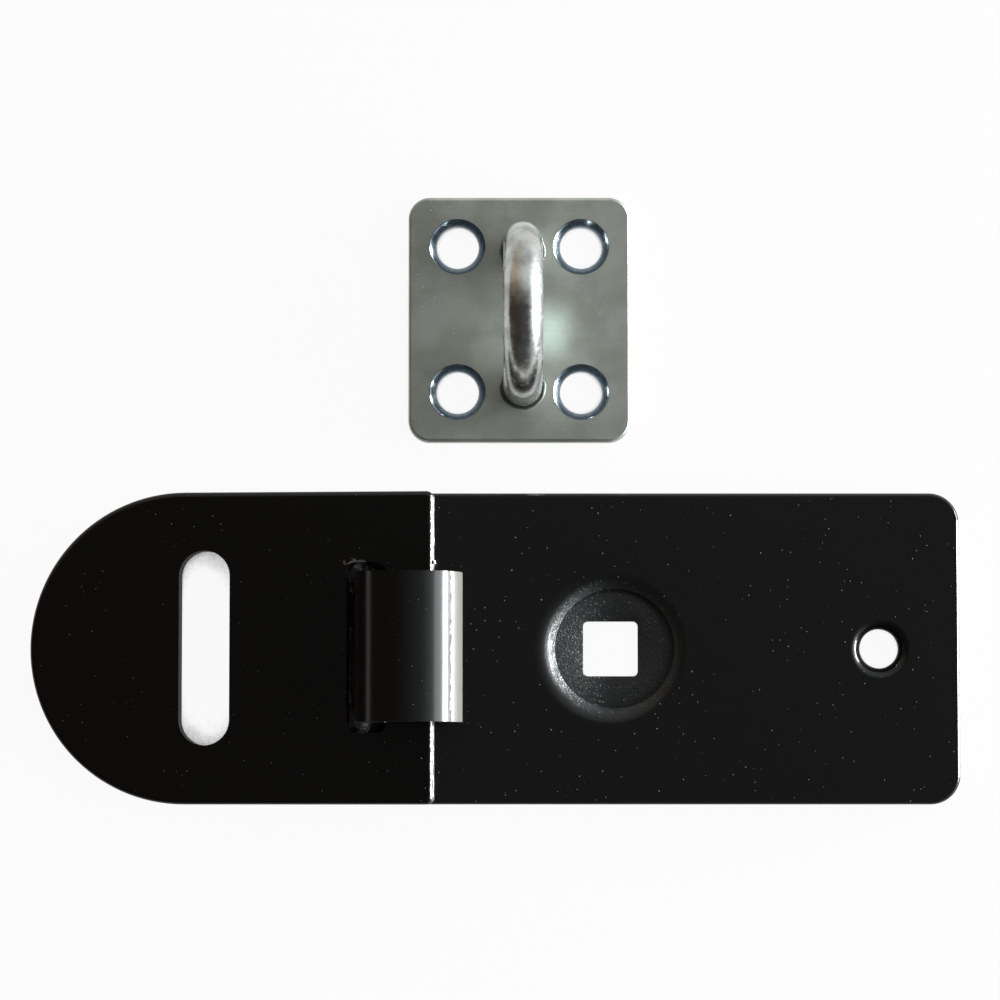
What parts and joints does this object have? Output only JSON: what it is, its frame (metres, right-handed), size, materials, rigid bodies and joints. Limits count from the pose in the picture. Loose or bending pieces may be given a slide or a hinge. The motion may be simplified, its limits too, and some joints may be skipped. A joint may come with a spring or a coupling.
{
  "type": "hasp and staple",
  "caption": "Pinless hinged hasp: a slotted strap swings in the rolled eye of a screw-fixed leaf and closes over a separate wire staple for a padlock.",
  "frame": {"origin": "middle of the square coach bolt hole, on the mounting plane at the back of the base leaf", "axes": "+X from the hinge towards the free end of the base leaf, +Y across the hasp towards the staple, +Z out of the mounting plane"},
  "size_m": [0.1151, 0.0755, 0.022],
  "materials": {
    "black_paint": "satin black coating on pressed steel sheet",
    "zinc_plate": "bright zinc plated steel"
  },
  "bodies": {
    "base": {"base_leaf": "black_paint", "staple_plate": "zinc_plate", "staple_loop": "zinc_plate"},
    "strap": {"strap": "black_paint"}
  },
  "joints": [
    {"name": "strap_swing", "type": "hinge", "parent": "base", "child": "strap", "pos_m": [-0.0249, 0, 0.0066], "axis": [0, 1, 0], "range_deg": [0, 180]}
  ]
}
